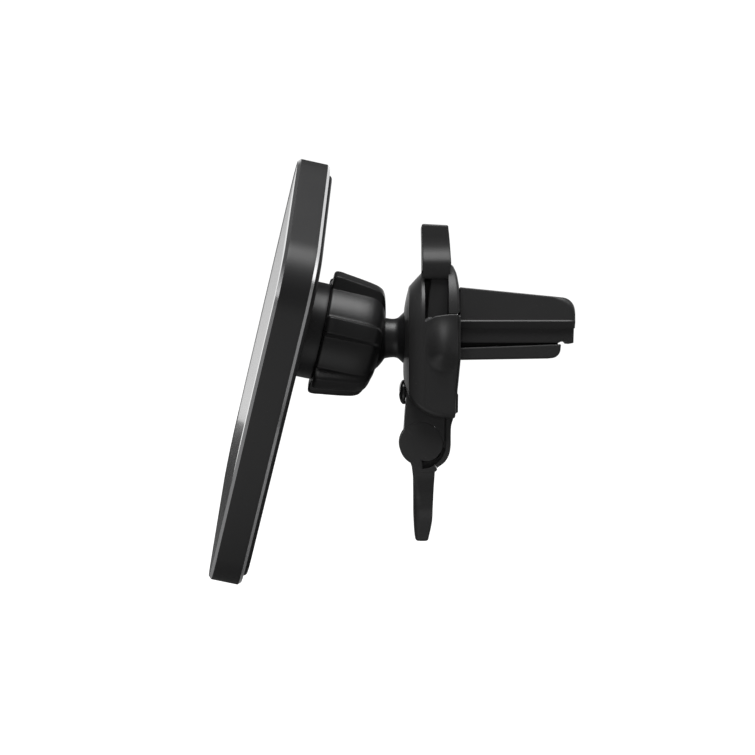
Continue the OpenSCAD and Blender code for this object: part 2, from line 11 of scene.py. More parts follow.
import bpy
import numpy as np
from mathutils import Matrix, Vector


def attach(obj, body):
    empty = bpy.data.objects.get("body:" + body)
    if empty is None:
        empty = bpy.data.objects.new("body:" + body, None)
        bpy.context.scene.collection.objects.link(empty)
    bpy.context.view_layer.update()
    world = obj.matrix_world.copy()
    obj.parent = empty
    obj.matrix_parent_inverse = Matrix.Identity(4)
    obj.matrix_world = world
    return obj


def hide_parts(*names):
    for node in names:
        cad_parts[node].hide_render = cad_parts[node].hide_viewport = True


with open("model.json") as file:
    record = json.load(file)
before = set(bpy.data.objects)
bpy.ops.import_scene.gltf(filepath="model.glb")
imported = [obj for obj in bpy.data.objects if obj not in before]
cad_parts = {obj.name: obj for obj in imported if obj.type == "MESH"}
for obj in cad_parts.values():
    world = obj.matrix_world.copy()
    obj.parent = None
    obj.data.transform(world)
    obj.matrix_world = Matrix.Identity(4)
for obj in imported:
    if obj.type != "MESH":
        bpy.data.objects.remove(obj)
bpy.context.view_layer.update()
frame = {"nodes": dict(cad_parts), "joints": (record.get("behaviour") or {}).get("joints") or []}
joints = {joint["name"]: joint for joint in frame["joints"]}

# ---------------------------------------------------------------- places, in millimetres

ball_centre = np.array(joints["ball_swivel"]["pos_m"]) * 1000
hub_centre = np.array(joints["leg_fold"]["pos_m"]) * 1000
pad_rear = np.array(joints["pad_roll"]["axis"])
tilt_side = -np.array(joints["ball_tilt"]["axis"])
tilt_up = np.cross(tilt_side, pad_rear)

pad_roll = math.radians(32)
pad_across = tilt_side * math.cos(pad_roll) - tilt_up * math.sin(pad_roll)
pad_along = tilt_side * math.sin(pad_roll) + tilt_up * math.cos(pad_roll)

pad_width = 65.0
pad_length = 98.7
pad_corner = 13.0
pad_boss_offset = 14.8
frame_front = -21.82
frame_back = -13.52
chamfer = 0.75
frame_wall = 1.7
panel_front = frame_front + 0.03
back_face = frame_back + 1.0

ball_radius = 10
cup_radius = 10.72
knob_ribs = 6
knob_phase = math.radians(-6)
clip_half = 13.3
plate_half = 9.6
hub_radius = 5.35


# ---------------------------------------------------------------- camera and light

view_distance = 650.0         # millimetres from the ball to the camera
view_width = 188.75           # millimetres across the ball's plane that fill the view
view_offset = (6.875, -9.875)  # the camera's place along Y and Z from the ball

# Strengths of the light that the mount reflects, and where each kind begins and is full, in the
# components of the direction that it comes from.
wall_light = 1.4
dusk_light = 0.05
front_light = 0.3
sky_light = 0.06
floor_glow = 0.6
wall_y = (0.02, 0.2)
wall_z = (0.6, 0.1)
wall_x = (0.3, -0.15)
front_x = (0.86, 0.98)
sky_z = (0.4, 0.85)
glow_centre = (0.1, -0.09, -0.1)
glow_reach = (0.095, 0.045)


def put_in_scene(name, data):
    """A new object that holds the data, linked to the scene."""
    thing = bpy.data.objects.new(name, data)
    bpy.context.scene.collection.objects.link(thing)
    return thing


def aim(thing, target):
    """Turns a lamp or a camera so that its own -Z points at the target."""
    direction = np.array(target, float) - np.array(thing.location)
    thing.rotation_mode = "QUATERNION"
    thing.rotation_quaternion = Vector(direction).to_track_quat("-Z", "Y")


def make_camera():
    """A long lens level with the mount, looking at its side along -X."""
    data = bpy.data.cameras.new("side_camera")
    data.sensor_width = 36
    data.lens = data.sensor_width * view_distance / view_width
    data.clip_start = 0.01
    data.clip_end = 30
    camera = put_in_scene("side_camera", data)
    camera.location = (ball_centre + np.array([view_distance, *view_offset])) / 1000
    aim(camera, np.array(camera.location) + np.array([-1.0, 0, 0]))
    bpy.context.scene.camera = camera


def soft_light(name, place, target, width, depth, power):
    """One rectangular soft box that shines at the target."""
    data = bpy.data.lights.new(name, "AREA")
    data.shape = "RECTANGLE"
    data.size = width
    data.size_y = depth
    data.energy = power
    lamp = put_in_scene(name, data)
    lamp.location = place
    aim(lamp, target)
    lamp.visible_camera = False


def step_between(tree, value, low, high):
    """A smooth step of a socket's value: 0 at low, 1 at high; low may be the larger of the two."""
    node = tree.nodes.new("ShaderNodeMapRange")
    node.interpolation_type = "SMOOTHSTEP"
    flip = low > high
    node.inputs["From Min"].default_value = min(low, high)
    node.inputs["From Max"].default_value = max(low, high)
    node.inputs["To Min"].default_value = 1.0 if flip else 0.0
    node.inputs["To Max"].default_value = 0.0 if flip else 1.0
    tree.links.new(value, node.inputs["Value"])
    return node.outputs["Result"]


def make_world():
    """White for the eye. As light, pale walls to the left and the right, a weaker light from straight
    ahead and from above, and dusk elsewhere."""
    world = bpy.data.worlds.new("studio")
    bpy.context.scene.world = world
    world.use_nodes = True
    tree = world.node_tree
    nodes, links = tree.nodes, tree.links
    nodes.clear()
    out = nodes.new("ShaderNodeOutputWorld")
    shown = nodes.new("ShaderNodeBackground")
    shown.inputs["Color"].default_value = (1, 1, 1, 1)
    shown.inputs["Strength"].default_value = 1.05
    light = nodes.new("ShaderNodeBackground")
    place = nodes.new("ShaderNodeTexCoord")
    split = nodes.new("ShaderNodeSeparateXYZ")
    links.new(place.outputs["Generated"], split.inputs[0])
    beside = step_between(tree, math_node(tree, "ABSOLUTE", split.outputs["Y"]), *wall_y)
    low = step_between(tree, split.outputs["Z"], *wall_z)
    behind = step_between(tree, split.outputs["X"], *wall_x)
    walls = math_node(tree, "MULTIPLY", math_node(tree, "MULTIPLY", beside, low), behind)
    strength = math_node(tree, "MULTIPLY_ADD", walls, wall_light, dusk_light)
    front = math_node(tree, "MULTIPLY", step_between(tree, split.outputs["X"], *front_x), front_light)
    above = math_node(tree, "MULTIPLY", step_between(tree, split.outputs["Z"], *sky_z), sky_light)
    strength = math_node(tree, "ADD", strength, math_node(tree, "ADD", front, above))
    links.new(strength, light.inputs["Strength"])
    path = nodes.new("ShaderNodeLightPath")
    mix = nodes.new("ShaderNodeMixShader")
    links.new(path.outputs["Is Camera Ray"], mix.inputs["Fac"])
    links.new(light.outputs[0], mix.inputs[1])
    links.new(shown.outputs[0], mix.inputs[2])
    links.new(mix.outputs[0], out.inputs["Surface"])


# ---------------------------------------------------------------- meshes from grids

def grid_faces(rows, columns, join_rows=False):
    """Quads between neighbouring rows of a grid whose columns go once round."""
    index = np.arange(rows * columns).reshape(rows, columns)
    upper = np.roll(index, -1, axis=0) if join_rows else index[1:]
    lower = index if join_rows else index[:-1]
    quads = np.stack([lower, np.roll(lower, -1, 1), np.roll(upper, -1, 1), upper], -1)
    return quads.reshape(-1, 4)


def closed_faces(grid, join_rows):
    """Points, quads and closing fans of one grid, turned so that its faces point outwards."""
    rows, columns, _ = grid.shape
    points = grid.reshape(-1, 3)
    quads = grid_faces(rows, columns, join_rows)
    fans = np.zeros((0, 3), int)
    if not join_rows:
        points = np.vstack([points, grid[0].mean(0), grid[-1].mean(0)])
        first, last = np.arange(columns), np.arange(columns) + (rows - 1) * columns
        start, end = np.full(columns, rows * columns), np.full(columns, rows * columns + 1)
        fans = np.vstack([np.stack([start, np.roll(first, -1), first], 1),
                          np.stack([end, last, np.roll(last, -1)], 1)])
    triangles = np.vstack([quads[:, [0, 1, 2]], quads[:, [0, 2, 3]], fans])
    corner = points[triangles] - points.mean(0)
    volume = np.einsum("ij,ij->i", corner[:, 0], np.cross(corner[:, 1], corner[:, 2])).sum()
    if volume < 0:
        quads, fans = quads[:, ::-1], fans[:, ::-1]
    return points, quads, fans


def skin(name, grids, look, body, node, join_rows=False, marks=None, sharp=32):
    """A closed surface through each grid of points in millimetres, all in one piece.

    Each row of a grid is a closed loop. The first and the last row are joined to each other, or else
    each is closed by a fan of triangles to its own middle. Marks, one for each row, say where the
    metal is cut bare.
    """
    points, faces, count = [], [], 0
    for grid in ([grids] if isinstance(grids, np.ndarray) else grids):
        some, quads, fans = closed_faces(grid, join_rows)
        points.append(some)
        faces += (quads + count).tolist() + (fans + count).tolist()
        count += len(some)
    mesh = bpy.data.meshes.new(name)
    mesh.from_pydata((np.vstack(points) / 1000).tolist(), [], faces)
    if marks is not None:
        values = np.repeat(np.asarray(marks, np.float32), grids.shape[1])
        attribute = mesh.attributes.new("cut_metal", "FLOAT", "POINT")
        attribute.data.foreach_set("value", values)
    mesh.shade_smooth()
    mesh.set_sharp_from_angle(angle=math.radians(sharp))
    mesh.materials.append(look)
    piece = put_in_scene(name, mesh)
    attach(piece, body)
    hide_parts(node)


def in_pad(points):
    """Points of the pad's own frame, placed on the ball."""
    axes = np.array([pad_across, pad_rear, pad_along])
    return ball_centre + points @ axes


def in_tilt(points):
    """Points of the knob's own frame, which tilts with the pad and isn't rolled with it."""
    axes = np.array([tilt_side, pad_rear, tilt_up])
    return ball_centre + points @ axes


def lengths(points):
    """The length of a polyline up to each of its points."""
    return np.r_[0, np.cumsum(np.linalg.norm(np.diff(points, axis=0), axis=1))]


def spread(points, count):
    """A polyline resampled to count points at even steps of its length."""
    points = np.asarray(points, float)
    step = lengths(points)
    at = np.linspace(0, step[-1], count)
    return np.stack([np.interp(at, step, points[:, k]) for k in range(points.shape[1])], 1)


def hermite(at, keys):
    """A table's columns at given places, by cubic pieces whose slopes are the mean of both sides."""
    step, values = keys[:, 0], keys[:, 1:]
    slope = np.gradient(values, step, axis=0)
    at = np.atleast_1d(at)
    k = np.clip(np.searchsorted(step, at, side="right") - 1, 0, len(step) - 2)
    h = (step[k + 1] - step[k])[:, None]
    t = np.clip((at - step[k])[:, None] / h, 0, 1)
    return ((2 * t**3 - 3 * t**2 + 1) * values[k] + (t**3 - 2 * t**2 + t) * h * slope[k]
            + (3 * t**2 - 2 * t**3) * values[k + 1] + (t**3 - t**2) * h * slope[k + 1])


def smooth_through(points, count):
    """A smooth open curve through points, at even steps of the polyline's length."""
    points = np.asarray(points, float)
    step = lengths(points)
    return hermite(np.linspace(0, step[-1], count), np.c_[step, points])


def ease(t):
    """0 below 0, 1 above 1, and a smooth step between."""
    t = np.clip(t, 0, 1)
    return t * t * (3 - 2 * t)


class Outline:
    """A closed polygon whose corners are rounded, which can be moved inwards by any distance.

    Every edge moves along its own normal, and every corner keeps its number of points, so that two
    loops at different insets match point for point. An outer corner's radius shrinks by the inset,
    and an inner corner's grows by it.
    """

    def __init__(self, points, radii, corner_points=7, spacing=0.8):
        self.points = np.asarray(points, float)
        self.radii = np.broadcast_to(np.asarray(radii, float), len(self.points)).copy()
        following = np.roll(self.points, -1, 0) - self.points
        self.length = np.linalg.norm(following, axis=1)
        x, y = self.points.T
        self.turn = 1 if (x * np.roll(y, -1) - np.roll(x, -1) * y).sum() > 0 else -1
        self.along = following / self.length[:, None]
        self.inward = self.turn * np.stack([-self.along[:, 1], self.along[:, 0]], 1)
        self.corner_points = corner_points
        self.edge_points = np.maximum(1, (self.length / spacing).astype(int))

    def at(self, inset):
        """The outline moved inwards by inset."""
        before = np.roll(self.inward, 1, 0)
        after = self.inward
        share = 1 + (before * after).sum(1, keepdims=True)
        corners = self.points + inset * (before + after) / np.maximum(share, 0.2)
        back = -np.roll(self.along, 1, 0)
        ahead = self.along
        half = np.arccos(np.clip((back * ahead).sum(1), -1, 1)) / 2
        cross = np.roll(self.along, 1, 0)[:, 0] * ahead[:, 1] - np.roll(self.along, 1, 0)[:, 1] * ahead[:, 0]
        outer = cross * self.turn > 0
        radius = np.where(outer, np.maximum(self.radii - inset, 0.02), self.radii + inset)
        reach = radius / np.maximum(np.tan(half), 1e-6)
        loop = []
        for k in range(len(corners)):
            middle = back[k] + ahead[k]
            size = np.linalg.norm(middle)
            if size < 1e-6:
                arc = np.repeat(corners[k][None], self.corner_points, 0)
            else:
                centre = corners[k] + middle / size * radius[k] / math.sin(half[k])
                first = corners[k] + back[k] * reach[k] - centre
                last = corners[k] + ahead[k] * reach[k] - centre
                t = np.linspace(0, 1, self.corner_points)[:, None]
                arc = first * (1 - t) + last * t
                arc = centre + arc / np.linalg.norm(arc, axis=1, keepdims=True) * radius[k]
            loop.append(arc)
        ends = [part[0] for part in loop]
        whole = []
        for k, arc in enumerate(loop):
            count = self.edge_points[k]
            t = (np.arange(1, count) / count)[:, None]
            whole.append(np.vstack([arc, arc[-1] * (1 - t) + ends[(k + 1) % len(loop)] * t]))
        return np.vstack(whole)


def quarter(radius, steps=6):
    """Inset and drop of a rounded edge: points of a quarter circle from the flat face to the side."""
    angle = np.linspace(0, math.pi / 2, steps)
    return radius * (1 - np.sin(angle)), radius * (1 - np.cos(angle))


def rounded_end(radius, steps):
    """The same insets and drops as pairs, from the side to the flat face."""
    return list(zip(*quarter(radius, steps)))[::-1]


def slab_rows(outline, low, high, round_low, round_high, spine, inner=7, steps=6, heart=0.02):
    """A plate with rounded edges, as loops of (a, b, c) from the middle of one face to the other.

    The face loops run from a spine inside the outline out to the rounded edge; the edge is a quarter
    circle in inset and height; the side is straight; and the other face is the same in reverse. The
    heart is the size of the first loop, as a share of the outline.
    """
    def face(inset, height, reverse):
        loop = outline.at(inset)
        shares = np.linspace(heart, 1, inner)[:-1]
        loops = [np.c_[towards(loop, *spine, share), np.full(len(loop), height)] for share in shares]
        return loops[::-1] if reverse else loops

    rows = face(round_low, low, False)
    inset, drop = quarter(round_low, steps)
    rows += [np.c_[outline.at(i), np.full(len(rows[0]), low + d)] for i, d in zip(inset, drop)]
    inset, drop = quarter(round_high, steps)
    rows += [np.c_[outline.at(i), np.full(len(rows[0]), high - d)] for i, d in zip(inset[::-1], drop[::-1])]
    rows += face(round_high, high, True)
    return np.array(rows)


def turned(profile, columns, place=None):
    """A profile of (radius, station) turned about the Y axis, one loop for each station."""
    angle = np.linspace(0, 2 * math.pi, columns, endpoint=False)
    radius, station = np.asarray(profile, float).T
    x = radius[:, None] * np.cos(angle)
    z = -radius[:, None] * np.sin(angle)
    y = np.broadcast_to(station[:, None], x.shape)
    grid = np.stack([x, y, z], -1)
    return grid if place is None else place(grid)


def soft_profile(points, radii, steps=5):
    """An open profile whose inner corners are rounded with the given radii."""
    points = np.asarray(points, float)
    radii = np.broadcast_to(np.asarray(radii, float), len(points))
    made = [points[:1]]
    for k in range(1, len(points) - 1):
        back = points[k - 1] - points[k]
        ahead = points[k + 1] - points[k]
        reach = min(radii[k], np.linalg.norm(back) * 0.45, np.linalg.norm(ahead) * 0.45)
        a = points[k] + back / np.linalg.norm(back) * reach
        b = points[k] + ahead / np.linalg.norm(ahead) * reach
        t = np.linspace(0, 1, steps)[:, None]
        made.append((1 - t)**2 * a + 2 * t * (1 - t) * points[k] + t**2 * b)
    made.append(points[-1:])
    return np.vstack(made)


def arch(half, top, bottom, top_radius, low_radius, corner=12, side=30):
    """A closed loop of (x, z): a rectangle with one radius at both top corners and one at both low ones."""
    turn = np.linspace(0, math.pi / 2, corner)
    share = (np.arange(1, side) / side)[:, None]
    arcs = []
    for k, (sx, sz) in enumerate(((1, 1), (-1, 1), (-1, -1), (1, -1))):
        radius = max(top_radius if sz > 0 else low_radius, 0.01)
        centre = np.array([sx * (half - radius), top - radius if sz > 0 else bottom + radius])
        angle = turn + k * math.pi / 2
        arcs.append(centre + radius * np.stack([np.cos(angle), np.sin(angle)], 1))
    loop = []
    for k, arc in enumerate(arcs):
        loop += [arc, arc[-1] * (1 - share) + arcs[(k + 1) % 4][0] * share]
    return np.vstack(loop)


class Arch:
    """An arch loop as an outline that can be moved inwards."""

    def __init__(self, half, top, bottom, top_radius, low_radius, *counts):
        self.sizes = half, top, bottom, top_radius, low_radius
        self.counts = counts

    def at(self, inset):
        half, top, bottom, top_radius, low_radius = self.sizes
        return arch(half - inset, top - inset, bottom + inset, top_radius - inset, low_radius - inset,
                    *self.counts)


def towards(loop, start, end, share):
    """A loop shrunk towards the nearest points of a line."""
    start, end = np.array([start, end], float)
    line = end - start
    t = np.clip(((loop - start) @ line) / max(line @ line, 1e-9), 0, 1)
    core = start + t[:, None] * line
    return core + (loop - core) * share


def ruled(inner, outer, half, rounding, corner=6, side=8):
    """A slab between two paths of (y, z): each row is a rectangle from the inner path to the outer one.

    Its width is 2 x half along X, its other side the distance between the two paths there, and its
    outer corners are rounded.
    """
    rows = []
    for a, b in zip(inner, outer):
        reach = np.linalg.norm(b - a)
        flat = arch(half, reach, 0, min(rounding, reach * 0.45), 0.02, corner, side)
        rows.append(np.c_[flat[:, 0], a + flat[:, 1:] * (b - a) / reach])
    return np.array(rows)


def circle(centre, radius, start, end, count):
    """An arc of (y, z) about a centre; the angles are in degrees."""
    angle = np.radians(np.linspace(start, end, count))
    return np.stack([centre[1] + radius * np.cos(angle), centre[2] + radius * np.sin(angle)], 1)


def at_station(loop, y):
    """A loop of (x, z) placed at a station along Y."""
    return np.c_[loop[:, 0], np.full(len(loop), y), loop[:, 1]]


# ---------------------------------------------------------------- shader effects

def new_group(name, inputs, outputs):
    """A shader node group with named float inputs and outputs."""
    group = bpy.data.node_groups.new(name, "ShaderNodeTree")
    for label, value in inputs:
        socket = group.interface.new_socket(label, in_out="INPUT", socket_type="NodeSocketFloat")
        socket.default_value = value
    for label in outputs:
        group.interface.new_socket(label, in_out="OUTPUT", socket_type="NodeSocketFloat")
    return group, group.nodes.new("NodeGroupInput"), group.nodes.new("NodeGroupOutput")


def feed(tree, socket, value):
    """Puts a number, an (r, g, b) in linear light, or another node's output into a socket."""
    if isinstance(value, tuple):
        socket.default_value = (*value, 1)
    elif isinstance(value, (int, float)):
        socket.default_value = value
    else:
        tree.links.new(value, socket)


def math_node(tree, operation, *values, clamp=False):
    """A Math node on sockets or numbers, and its output."""
    node = tree.nodes.new("ShaderNodeMath")
    node.operation = operation
    node.use_clamp = clamp
    for socket, value in zip(node.inputs, values):
        feed(tree, socket, value)
    return node.outputs[0]


def noise(tree, scale, detail=3.0, rough=0.55, vector=None):
    """A noise texture on Object coordinates or a vector, and its Fac output."""
    node = tree.nodes.new("ShaderNodeTexNoise")
    node.inputs["Detail"].default_value = detail
    node.inputs["Roughness"].default_value = rough
    feed(tree, node.inputs["Scale"], scale)
    if vector is None:
        place = tree.nodes.new("ShaderNodeTexCoord")
        vector = place.outputs["Object"]
    tree.links.new(vector, node.inputs["Vector"])
    return node.outputs["Fac"]


def make_grain():
    """Spark-eroded mould texture: a fine grain for the height, and a slow drift of tone."""
    group, given, out = new_group("moulded_grain", [("Scale", 3000), ("Depth", 1)],
                                  ["Height", "Tone"])
    fine = noise(group, given.outputs["Scale"], 4, 0.6)
    coarse = noise(group, math_node(group, "MULTIPLY", given.outputs["Scale"], 0.28), 2, 0.5)
    both = math_node(group, "ADD", math_node(group, "MULTIPLY", fine, 0.7),
                     math_node(group, "MULTIPLY", coarse, 0.3))
    group.links.new(math_node(group, "MULTIPLY", both, given.outputs["Depth"]), out.inputs["Height"])
    group.links.new(noise(group, 55, 2, 0.5), out.inputs["Tone"])
    return group


def make_edge_wear():
    """Polish on outer edges: the mesh's convexity, broken up by noise."""
    group, given, out = new_group("edge_polish", [("Amount", 0.5)], ["Mask"])
    geometry = group.nodes.new("ShaderNodeNewGeometry")
    span = group.nodes.new("ShaderNodeMapRange")
    span.inputs["From Min"].default_value = 0.52
    span.inputs["From Max"].default_value = 0.62
    group.links.new(geometry.outputs["Pointiness"], span.inputs["Value"])
    broken = math_node(group, "MULTIPLY", span.outputs["Result"], noise(group, 900, 4, 0.6))
    group.links.new(math_node(group, "MULTIPLY", broken, given.outputs["Amount"], clamp=True),
                    out.inputs["Mask"])
    return group


def make_dust():
    """Lint and dust: sparse specks in irregular patches."""
    group, given, out = new_group("dust_specks", [("Amount", 0.3), ("Scale", 1400)], ["Mask"])
    cells = group.nodes.new("ShaderNodeTexVoronoi")
    cells.inputs["Randomness"].default_value = 1
    place = group.nodes.new("ShaderNodeTexCoord")
    group.links.new(place.outputs["Object"], cells.inputs["Vector"])
    group.links.new(given.outputs["Scale"], cells.inputs["Scale"])
    speck = math_node(group, "LESS_THAN", cells.outputs["Distance"], 0.13)
    patch = math_node(group, "GREATER_THAN", noise(group, 160, 3, 0.7), 0.62)
    both = math_node(group, "MULTIPLY", speck, patch)
    group.links.new(math_node(group, "MULTIPLY", both, given.outputs["Amount"], clamp=True),
                    out.inputs["Mask"])
    return group


def make_hairlines():
    """Fine scratches: noise stretched along one direction, in two crossing layers."""
    group, given, out = new_group("hairline_scratches", [("Scale", 300), ("Depth", 1)], ["Height"])
    place = group.nodes.new("ShaderNodeTexCoord")
    layers = []
    for turn in (0.3, 1.9):
        mapping = group.nodes.new("ShaderNodeMapping")
        mapping.inputs["Rotation"].default_value = (0.4, turn, turn * 0.7)
        mapping.inputs["Scale"].default_value = (1, 0.03, 1)
        group.links.new(place.outputs["Object"], mapping.inputs["Vector"])
        layers.append(noise(group, given.outputs["Scale"], 2, 0.5, mapping.outputs["Vector"]))
    peak = math_node(group, "MAXIMUM", layers[0], layers[1])
    group.links.new(math_node(group, "MULTIPLY", peak, given.outputs["Depth"]), out.inputs["Height"])
    return group


effects = {"grain": make_grain(), "wear": make_edge_wear(), "dust": make_dust(),
           "hairlines": make_hairlines()}


def use(tree, effect, **values):
    """One of the shared effects placed in a material, with its own values."""
    node = tree.nodes.new("ShaderNodeGroup")
    node.node_tree = effects[effect]
    for label, value in values.items():
        node.inputs[label].default_value = value
    return node


def blend_colour(tree, share, first, second):
    """A colour between two, each a socket or an (r, g, b), by the share of the second."""
    node = tree.nodes.new("ShaderNodeMix")
    node.data_type = "RGBA"
    for label, value in (("Factor", share), ("A", first), ("B", second)):
        feed(tree, node.inputs[label], value)
    return node.outputs["Result"]


def plastic(name, dark, light, rough, rough_span, grain=3000, depth=0.3, bump=0.00002, wear=0.3,
            dust=0.25, coat=0.0, coat_rough=0.1, metal=0.0, scratches=0.0):
    """A moulded, coated or metal finish.

    The colour drifts between dark and light, edges are a little polished, and dust is pale. The
    roughness follows the same drift. Grain and hairline scratches make the bump.
    """
    look = bpy.data.materials.new(name)
    look.use_nodes = True
    tree = look.node_tree
    shader = tree.nodes["Principled BSDF"]
    grain_node = use(tree, "grain", Scale=float(grain), Depth=1.0)
    wear_node = use(tree, "wear", Amount=float(wear))
    dust_node = use(tree, "dust", Amount=float(dust))
    tone = grain_node.outputs["Tone"]
    colour = blend_colour(tree, tone, dark, light)
    worn = tuple(min(1.0, c * 1.7 + 0.01) for c in light)
    colour = blend_colour(tree, wear_node.outputs["Mask"], colour, worn)
    colour = blend_colour(tree, dust_node.outputs["Mask"], colour, (0.22, 0.21, 0.2))
    tree.links.new(colour, shader.inputs["Base Color"])
    drift = math_node(tree, "MULTIPLY_ADD", tone, rough_span, rough - rough_span / 2)
    polish = math_node(tree, "MULTIPLY", wear_node.outputs["Mask"], 0.12)
    matting = math_node(tree, "MULTIPLY", dust_node.outputs["Mask"], 0.4)
    dusty = math_node(tree, "ADD", math_node(tree, "SUBTRACT", drift, polish), matting, clamp=True)
    tree.links.new(dusty, shader.inputs["Roughness"])
    height = math_node(tree, "MULTIPLY", grain_node.outputs["Height"], depth)
    if scratches:
        lines = use(tree, "hairlines", Depth=float(scratches))
        height = math_node(tree, "ADD", height, lines.outputs["Height"])
    relief = tree.nodes.new("ShaderNodeBump")
    relief.inputs["Strength"].default_value = 1.0
    relief.inputs["Distance"].default_value = bump
    tree.links.new(height, relief.inputs["Height"])
    tree.links.new(relief.outputs["Normal"], shader.inputs["Normal"])
    shader.inputs["Metallic"].default_value = metal
    shader.inputs["IOR"].default_value = 1.5
    shader.inputs["Coat Weight"].default_value = coat
    shader.inputs["Coat Roughness"].default_value = coat_rough
    return look


def band_look():
    """Black anodised aluminium, with bare bright metal where the chamfers are cut."""
    look = plastic("black_anodised_band", (0.016, 0.016, 0.0165), (0.021, 0.021, 0.022), 0.5, 0.05,
                   grain=5200, depth=0.5, bump=0.000012, wear=0.12, dust=0.15)
    tree = look.node_tree
    shader = tree.nodes["Principled BSDF"]
    mark = tree.nodes.new("ShaderNodeAttribute")
    mark.attribute_name = "cut_metal"
    cut = math_node(tree, "GREATER_THAN", mark.outputs["Fac"], 0.5)
    base = shader.inputs["Base Color"].links[0].from_socket
    tree.links.new(blend_colour(tree, cut, base, (0.95, 0.95, 0.96)), shader.inputs["Base Color"])
    rough = shader.inputs["Roughness"].links[0].from_socket
    kept = math_node(tree, "SUBTRACT", 1.0, math_node(tree, "MULTIPLY", cut, 0.6))
    tree.links.new(math_node(tree, "MULTIPLY", rough, kept), shader.inputs["Roughness"])
    tree.links.new(cut, shader.inputs["Metallic"])
    return look


looks = {
    "front_gloss": plastic("gloss_black_panel", (0.008, 0.008, 0.009), (0.011, 0.011, 0.012), 0.1, 0.03,
                           grain=1500, depth=0.12, bump=0.000004, wear=0.05, dust=0.3, coat=0.6,
                           coat_rough=0.04, scratches=0.1),
    "band": band_look(),
    "pad_back": plastic("satin_pad_back", (0.011, 0.011, 0.0115), (0.016, 0.016, 0.0165), 0.46, 0.08,
                        grain=3400, depth=0.7, bump=0.00002, wear=0.25, dust=0.3),
    "boss": plastic("satin_boss", (0.01, 0.01, 0.0105), (0.014, 0.014, 0.0145), 0.4, 0.06,
                    grain=3600, depth=0.5, bump=0.000016, wear=0.25),
    "knob": plastic("satin_knob", (0.012, 0.012, 0.0125), (0.017, 0.017, 0.0175), 0.38, 0.06, grain=3800,
                    depth=0.5, bump=0.000014, wear=0.45, dust=0.3),
    "stud": plastic("satin_stud", (0.009, 0.009, 0.0095), (0.013, 0.013, 0.0135), 0.38, 0.06, grain=3200,
                    depth=0.4, bump=0.000014, wear=0.2),
    "clip_gloss": plastic("soft_gloss_clip", (0.026, 0.026, 0.0265), (0.032, 0.032, 0.0325), 0.42, 0.06,
                          grain=3000, depth=0.35, bump=0.000014, wear=0.35, dust=0.35),
    "clip_satin": plastic("satin_clip", (0.031, 0.031, 0.0315), (0.039, 0.039, 0.0395), 0.48, 0.08,
                          grain=3300, depth=0.6, bump=0.000018, wear=0.35, dust=0.3),
    "screw": plastic("black_screw", (0.01, 0.01, 0.0105), (0.016, 0.016, 0.0165), 0.25, 0.08, grain=2600,
                     depth=0.3, bump=0.00001, wear=0.6, coat=0.3),
    "rubber": plastic("grip_rubber", (0.014, 0.014, 0.014), (0.022, 0.022, 0.0215), 0.75, 0.1, grain=2400,
                      depth=1.0, bump=0.00003, wear=0.1, dust=0.5),
    "steel": plastic("zinc_steel", (0.42, 0.42, 0.43), (0.55, 0.55, 0.56), 0.32, 0.12, grain=1800,
                     depth=0.3, bump=0.00001, wear=0.2, dust=0.1, metal=1.0, scratches=0.6),
    "nickel": plastic("nickel_plate", (0.6, 0.6, 0.6), (0.7, 0.7, 0.69), 0.22, 0.08, grain=1500,
                      depth=0.2, bump=0.000008, wear=0.2, dust=0.05, metal=1.0, scratches=0.4),
    "liner": plastic("white_liner", (0.66, 0.66, 0.63), (0.74, 0.74, 0.71), 0.4, 0.08, grain=2000,
                     depth=0.3, bump=0.00001, wear=0.1, dust=0.05),
    "foam": plastic("foam_tape", (0.6, 0.6, 0.56), (0.72, 0.72, 0.68), 0.85, 0.05, grain=2800, depth=1.0,
                    bump=0.00004, wear=0.0, dust=0.1),
    "tray": plastic("tray_plastic", (0.06, 0.06, 0.062), (0.08, 0.08, 0.082), 0.5, 0.08, grain=2600,
                    depth=0.6, bump=0.00002, wear=0.1, dust=0.1),
}


# ---------------------------------------------------------------- the pad

def pad_outline(inset):
    """The pad's outline moved inwards."""
    half, top, radius = pad_width / 2 - inset, pad_length / 2 - inset, pad_corner - inset
    return Arch(half, top, -top, radius, radius, 14, 10)


def on_pad(loops):
    """Loops of (across, along, depth) about the pad's middle, placed on the ball."""
    return in_pad(loops[..., [0, 2, 1]] - np.array([0, 0, pad_boss_offset]))


def make_band():
    """The metal band: a profile of (inset, depth, cut) carried round the pad's outline."""
    front, back, c = frame_front, frame_back, chamfer
    profile = [(frame_wall, front + 0.06, 0), (frame_wall - 0.06, front, 0), (c + 0.05, front, 0),
               (c - 0.01, front + 0.01, 0), (c - 0.03, front + 0.03, 1), (c / 2, front + c / 2, 1),
               (0.03, front + c - 0.03, 1), (0.01, front + c - 0.01, 0), (0, front + c + 0.06, 0),
               (0, front + c + 0.8, 0), (0, (front + back) / 2, 0), (0, back - c - 0.8, 0),
               (0, back - c - 0.06, 0), (0.01, back - c + 0.01, 0), (0.03, back - c + 0.03, 1),
               (c / 2, back - c / 2, 1), (c - 0.03, back - 0.03, 1), (c - 0.01, back - 0.01, 0),
               (c + 0.05, back, 0), (frame_wall - 0.06, back, 0), (frame_wall, back - 0.06, 0),
               (frame_wall, (front + back) / 2, 0)]
    loops = [(pad_outline(inset).at(0), depth) for inset, depth, _ in profile]
    grid = np.array([np.c_[loop, np.full(len(loop), depth)] for loop, depth in loops])
    skin("pad_band", on_pad(grid), looks["band"], "pad", "pad_frame",
         join_rows=True, marks=[cut for _, _, cut in profile])


